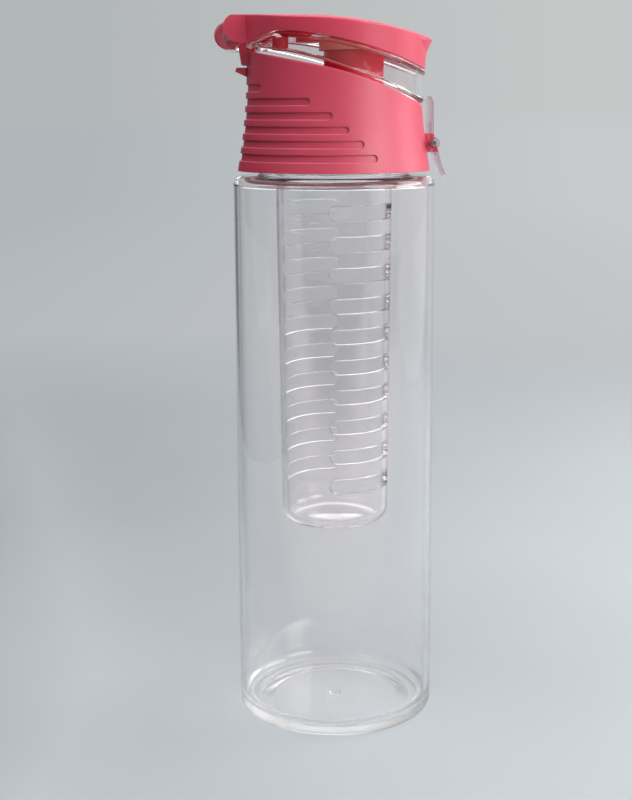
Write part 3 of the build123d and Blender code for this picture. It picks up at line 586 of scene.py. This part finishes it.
def arch(x, left, middle, right):
    """Heights on the circle through three (x, height) points, on its upper side."""
    (x1, h1), (x2, h2), (x3, h3) = left, middle, right
    sides = np.array([[x2 - x1, h2 - h1], [x3 - x2, h3 - h2]])
    halves = np.array([x2**2 - x1**2 + h2**2 - h1**2, x3**2 - x2**2 + h3**2 - h2**2]) / 2
    centre = np.linalg.solve(sides, halves)
    radius = np.hypot(x1 - centre[0], h1 - centre[1])
    return centre[1] + np.sqrt(radius**2 - (x - centre[0]) ** 2)


def cover_edge(x):
    """The cover's lower edge in the side view: an arc, met near the hinge by a line that falls to the heel.
    The two meet as (a + b - root of (a - b)^2 + e^2) / 2, which rounds the corner."""
    sweep = arch(x, *COVER_ARC)
    start, start_height = COVER_ARC[0]
    heel = np.maximum(start_height + (x - start) * HEEL_SLOPE, HEEL_FOOT)
    return (sweep + heel - np.sqrt((sweep - heel) ** 2 + HEEL_ROUNDING)) / 2


def crown(x, y, drop):
    """The lid's crowned top, lowered by drop: flat along to CROWN_FLAT_X, then an arc, and arched across."""
    along = np.clip(x - CROWN_FLAT_X, 0, None)
    fall = CROWN_ARC - np.sqrt(CROWN_ARC**2 - along**2)
    return COVER_TOP - drop - fall - CROWN_DROP * (y / BODY_RADIUS) ** 2


def lid_wall():
    """The clear shell as one closed grid of angle by outline: the ceiling's underside from the axis out, the
    inner wall down, round the rim, up the outer wall, over the bead as half a sine wave, and back over the
    ceiling. In the hinge's notch the wall shrinks to the ceiling's edge, on the chord x = -NOTCH_DEPTH."""
    angle = np.radians(np.concatenate([np.linspace(-NOTCH_ANGLE, NOTCH_ANGLE, 180),
                                       np.linspace(NOTCH_ANGLE + 0.1, 359.9 - NOTCH_ANGLE, 14)]))
    cosine, sine = np.cos(angle)[:, None], np.sin(angle)[:, None]
    in_notch = cosine < np.cos(radians(NOTCH_ANGLE + 0.05))
    chord = NOTCH_DEPTH / np.abs(cosine)
    foot = arch(SHELL_RADIUS * cosine, *RIM_ARC) + RIM_RADIUS
    edge = cover_edge(SHELL_RADIUS * cosine)
    out = np.sqrt(np.linspace(0, 1, 12))[None, :]
    inner_share = np.linspace(1, 0, 12)[None, :]
    outer_share = np.linspace(0, 1, 16)[None, :]
    round_rim = np.linspace(0, np.pi, 11)[None, :]
    bead_share = np.linspace(0, 1, 13)[None, :]
    bore = SHELL_RADIUS - 2 * RIM_RADIUS
    full = np.ones_like(cosine)
    under = CEILING_DROP + CEILING_WALL

    def cut_back(radius):
        """The radius, cut back to the chord in the notch."""
        return np.where(in_notch, np.minimum(radius, chord), radius)

    def on_crown(radius, drop):
        """A stretch of the outline along the crown, lowered by drop."""
        radius = cut_back(radius)
        return radius, crown(radius * cosine, radius * sine, drop)

    def upright(radius, height, notch_height):
        """A stretch of the outline with its own height in the notch."""
        return cut_back(radius), np.where(in_notch, notch_height, height)

    under_notch = crown(chord * cosine, chord * sine, under)
    top_notch = crown(chord * cosine, chord * sine, CEILING_DROP)
    mid_notch = (under_notch + top_notch) / 2
    corner = crown(bore * cosine, bore * sine, under)
    shoulder = crown(SHELL_NECK_RADIUS * cosine, SHELL_NECK_RADIUS * sine, CEILING_DROP)
    outer_height = foot + (edge - WALL_TOP_DROP - foot) * outer_share
    catch = (np.abs(outer_height - CATCH_HEIGHT) < CATCH_HALF_HEIGHT) & (cosine > 0)
    catch = catch & (np.abs(SHELL_RADIUS * sine) < CATCH_HALF_WIDTH)
    stretches = [
        on_crown(bore * out * full, under),
        upright(bore * full, foot + (corner - foot) * inner_share, under_notch),
        upright(SHELL_RADIUS - RIM_RADIUS - RIM_RADIUS * np.cos(round_rim) * full,
                foot - RIM_RADIUS * np.sin(round_rim), under_notch),
        upright(SHELL_RADIUS + CATCH_DEPTH * catch, outer_height, mid_notch),
        upright(SHELL_RADIUS + BEAD_SWELL * np.sin(np.pi * bead_share) * full,
                edge - BEAD_FOOT_DROP + BEAD_HEIGHT * bead_share, mid_notch),
        upright(SHELL_NECK_RADIUS * full, edge - NECK_FOOT_DROP + (shoulder - edge) * bead_share, top_notch),
        on_crown(SHELL_NECK_RADIUS * out[:, ::-1] * full, CEILING_DROP),
    ]
    radius = np.hstack([np.broadcast_arrays(r, h)[0] for r, h in stretches])
    height = np.hstack([np.broadcast_arrays(r, h)[1] for r, h in stretches])
    return np.swapaxes(around(radius, height, angle[:, None]), 0, 1)


def hinge_arm(start_y, end_y):
    """One clear arm with its knuckle, as a ring grid round the pivot: in each direction it reaches as far as
    its straight-sided outline does, and at least the knuckle's radius. The edges of its two faces and the
    pin's bore are rows of the grid, with the edges rounded off."""
    outline = np.array(ARM_OUTLINE) - PIVOT
    corners = np.arctan2(outline[:, 1], outline[:, 0])
    angle = np.sort(np.concatenate([np.radians(np.arange(-180, 180, 5.0)), corners[1:-1]]))
    heading = np.stack([np.cos(angle), np.sin(angle)], axis=-1)
    side = np.diff(outline, axis=0)
    across = heading[:, None, 0] * side[None, :, 1] - heading[:, None, 1] * side[None, :, 0]
    across = np.where(np.abs(across) < 1e-9, 1e-9, across)
    start = outline[None, :-1]
    reach = (start[..., 0] * side[None, :, 1] - start[..., 1] * side[None, :, 0]) / across
    share = (start[..., 0] * heading[:, None, 1] - start[..., 1] * heading[:, None, 0]) / across
    hit = (share > -1e-6) & (share < 1 + 1e-6) & (reach > 0)
    reach = np.maximum(np.where(hit, reach, 0).max(axis=1), KNUCKLE_RADIUS)[None, :]
    inward = np.sign(end_y - start_y) * ARM_ROUNDING
    rows = [(0, PIN_BORE, start_y), (1, -ARM_ROUNDING, start_y),
            (1, -0.3 * ARM_ROUNDING, start_y + 0.3 * inward), (1, 0, start_y + inward),
            (1, 0, end_y - inward), (1, -0.3 * ARM_ROUNDING, end_y - 0.3 * inward),
            (1, -ARM_ROUNDING, end_y), (0, PIN_BORE, end_y), (0, PIN_BORE, start_y)]
    follow, extra, y = (np.array(values)[:, None] for values in zip(*rows))
    radius = follow * reach + extra
    x, y, z = np.broadcast_arrays(PIVOT[0] + radius * np.cos(angle), y, PIVOT[1] + radius * np.sin(angle))
    return np.stack([x, y, z], axis=-1)


for name, points in (("lid_wall", lid_wall()), ("lid_arm_left", hinge_arm(ARM_INSIDE, ARM_OUTSIDE)),
                     ("lid_arm_right", hinge_arm(-ARM_INSIDE, -ARM_OUTSIDE))):
    piece(name, points, lid_clear, "lid", ["lid_shell"], sharp=45)

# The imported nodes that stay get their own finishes
for node_name, material in {
    "collar": sleeve_pink,
    "inner_cap": spout_pink,
    "cap_gasket": silicone,
    "lid_cover": cover_pink,
    "spout_seal": peach_silicone,
    "hinge_pin": steel,
    "latch_lever": latch_clear,
    "latch_pin": steel,
}.items():
    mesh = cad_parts[node_name].data
    mesh.materials.clear()
    mesh.materials.append(material)

# Floor and backdrop: one pale sheet that bends up behind the bottle, a hair under the bottle's foot
run = rounded([(-3.0, 0.0), (3.2, 0.0), (3.2, 5.0)], [0, 0.5, 0], steps=24) - [0, 0.05 * MM]
across = np.linspace(-4, 4, 3)
sheet = np.stack(np.broadcast_arrays(across[None, :], run[:, :1], run[:, 1:]), axis=-1)
rows, count = sheet.shape[:2]
row = np.arange(rows - 1)[:, None] * count
column = np.arange(count - 1)[None, :]
quads = np.stack([row + column, row + column + 1, row + count + column + 1, row + count + column], axis=-1)
mesh = bpy.data.meshes.new("studio_sheet")
mesh.from_pydata(sheet.reshape(-1, 3).tolist(), [], quads.reshape(-1, 4).tolist())
mesh.shade_smooth()
studio_sheet = stand("studio_sheet", mesh)
paper, tree, shader = new_material("pale_paper")
shader.inputs["Roughness"].default_value = 0.9
shader.inputs["Specular IOR Level"].default_value = 0.2
place = node(tree, "TexCoord").outputs["Object"]
spot = node(tree, "SeparateXYZ", {0: place}).outputs

# The paper's colour is darker to the left, a painted shade. What the bottle mirrors in front of it is a painted
# reflection: a pale band for the edge of the table and then dark for the room; the camera sees only the paper
path = node(tree, "LightPath").outputs
close_shaded_left = blend(tree, spread(tree, spot["X"], -0.25, 0.25, 0.0, 1.0), (0.40, 0.433, 0.448), (0.53, 0.56, 0.58))
with_painted_table_edge = blend(tree, spread(tree, spot["Y"], -0.16, -0.10, 0.0, 1.0), (0.82, 0.73, 0.72), close_shaded_left)
painted_for_reflections = blend(tree, spread(tree, spot["Y"], -0.6, -0.3, 0.0, 1.0), (0.10, 0.10, 0.105), with_painted_table_edge)
shown = blend(tree, path["Is Camera Ray"], painted_for_reflections, close_shaded_left)
tint = use(tree, colour_drift, Colour=shown, Amount=0.02, Density=6.0)["Colour"]
tree.links.new(tint, shader.inputs["Base Color"])
# Far away it glows at a painted level, darker to the left as painted shade: all round to the camera, and behind
# the bottle also through its walls
side = spread(tree, spot["X"], -0.6, 0.6, 0.0, 1.0)
table = blend(tree, side, (0.437, 0.468, 0.494), (0.575, 0.590, 0.610))
wall = blend(tree, side, (0.450, 0.475, 0.478), (0.560, 0.570, 0.575))
far_shaded_left = blend(tree, spread(tree, spot["Z"], 0.17, 0.22, 0.0, 1.0), table, wall)
painted_far_glow = node(tree, "Emission", {"Color": far_shaded_left, "Strength": 1.0})
seen = total(tree, path["Is Camera Ray"], total(tree, path["Is Glossy Ray"], path["Is Transmission Ray"]))
seen = node(tree, "Math", {0: seen, 1: 1.0}, operation="MINIMUM").outputs["Value"]
behind = product(tree, spread(tree, spot["Y"], 0.25, 0.9, 0.0, 1.0), seen)
away = node(tree, "VectorMath", {0: place}, operation="LENGTH").outputs["Value"]
round_about = product(tree, spread(tree, away, 0.5, 1.1, 0.0, 1.0), path["Is Camera Ray"])
far = node(tree, "Math", {0: behind, 1: round_about}, operation="MAXIMUM").outputs["Value"]
show_mix(tree, far, shader, painted_far_glow)
mesh.materials.append(paper)

# A dark card on the left keeps the table's light off the sleeve; the camera and the lamps don't see it. Light
# that the clear walls bend meets it aslant and finds a dim glow, which paints dark lines at their left edges;
# straight through them it isn't seen
mesh = bpy.data.meshes.new("dark_card")
mesh.from_pydata([(-0.10, -0.32, 0.08), (-0.10, 0.03, 0.08), (-0.26, 0.60, 0.08), (-0.10, -0.32, 0.236),
                  (-0.10, 0.03, 0.236), (-0.26, 0.60, 0.29)], [], [(0, 1, 4, 3), (1, 2, 5, 4)])
dark_card = stand("dark_card", mesh)
black, tree, shader = new_material("black_card")
shader.inputs["Base Color"].default_value = (0.02, 0.02, 0.02, 1)
shader.inputs["Roughness"].default_value = 0.9
dark = node(tree, "Emission", {"Color": (0.12, 0.105, 0.14, 1), "Strength": 1.0})
clear = node(tree, "BsdfTransparent", {"Color": (1, 1, 1, 1)})
facing = node(tree, "LayerWeight", {"Blend": 0.5}).outputs["Facing"]
aslant = spread(tree, facing, 0.74, 0.84, 0.0, 1.0)
bent = node(tree, "MixShader", {"Fac": aslant, 1: clear.outputs["BSDF"], 2: dark.outputs["Emission"]})
show_mix(tree, node(tree, "LightPath").outputs["Is Transmission Ray"], shader, bent)
mesh.materials.append(black)
dark_card.visible_camera = False
dark_card.visible_shadow = False

BOTTLE_MIDDLE = Vector((0, 0, 0.15))


def soft_light(name, place, width, height, radiance):
    """A round soft light that points at the bottle: its power is pi times its area times its radiance."""
    lamp = bpy.data.lights.new(name, "AREA")
    lamp.shape = "ELLIPSE"
    lamp.size = width
    lamp.size_y = height
    lamp.energy = np.pi * (np.pi / 4 * width * height) * radiance
    made = stand(name, lamp)
    made.location = place
    made.rotation_euler = (BOTTLE_MIDDLE - made.location).to_track_quat("-Z", "Y").to_euler()


soft_light("window_right", (0.85, -0.62, 0.63), 0.75, 0.75, 4.4)
soft_light("window_side_high", (0.74, 0.2, 0.56), 0.5, 0.56, 5.0)
soft_light("window_side_low", (0.73, 0.18, 0.14), 0.8, 0.3, 0.35)
soft_light("window_far_behind", (0.2, 2.8, 0.70), 2.2, 0.30, 2.4)
soft_light("sky_above", (-0.3, -0.2, 1.2), 0.8, 0.8, 2.2)

# Room: dim on the left, paler on the right and bright overhead, by the direction; the camera sees the paper's
# own pale colour go on beyond the sheet's edge
world = bpy.data.worlds.new("room")
bpy.context.scene.world = world
world.use_nodes = True
tree = world.node_tree
heading = node(tree, "SeparateXYZ", {0: node(tree, "TexCoord").outputs["Generated"]}).outputs
path = node(tree, "LightPath").outputs
mid_right = spread(tree, heading["X"], -0.4, 0.7, 0.0, 1.0)
dim = blend(tree, mid_right, (0.09, 0.09, 0.095), (0.38, 0.37, 0.365))
not_left = spread(tree, heading["X"], -0.9, -0.4, 0.0, 1.0)
through_walls = blend(tree, not_left, (0.12, 0.11, 0.12), (0.42, 0.40, 0.40))
around_it = blend(tree, path["Is Transmission Ray"], dim, through_walls)
overhead = blend(tree, spread(tree, heading["Z"], 0.15, 0.9, 0.0, 1.0), around_it, (0.95, 0.98, 1.0))
beyond = blend(tree, path["Is Camera Ray"], overhead, (0.50, 0.52, 0.525))
tree.links.new(beyond, tree.nodes["Background"].inputs["Color"])

# Camera: fitted to the photograph's straight edges and rings
EYE = (0, -0.50466, 0.22107)
LOOKS_DOWN = 10.10
ROLL = -0.003
camera_data = bpy.data.cameras.new("camera")
camera_data.lens = 62.87
camera_data.sensor_width = 36
camera_data.shift_x = -0.0230
camera_data.shift_y = -0.0491
camera = stand("camera", camera_data)
camera.matrix_world = (
    Matrix.Translation(EYE)
    @ Matrix.Rotation(radians(90 - LOOKS_DOWN), 4, "X")
    @ Matrix.Rotation(ROLL, 4, "Z")
)
bpy.context.scene.camera = camera
bpy.context.scene.view_settings.view_transform = "Standard"

# Light that is caught inside the clear walls needs many turns to get out
cycles = bpy.context.scene.cycles
cycles.max_bounces = 32
cycles.glossy_bounces = 24
cycles.transmission_bounces = 24
cycles.transparent_max_bounces = 32
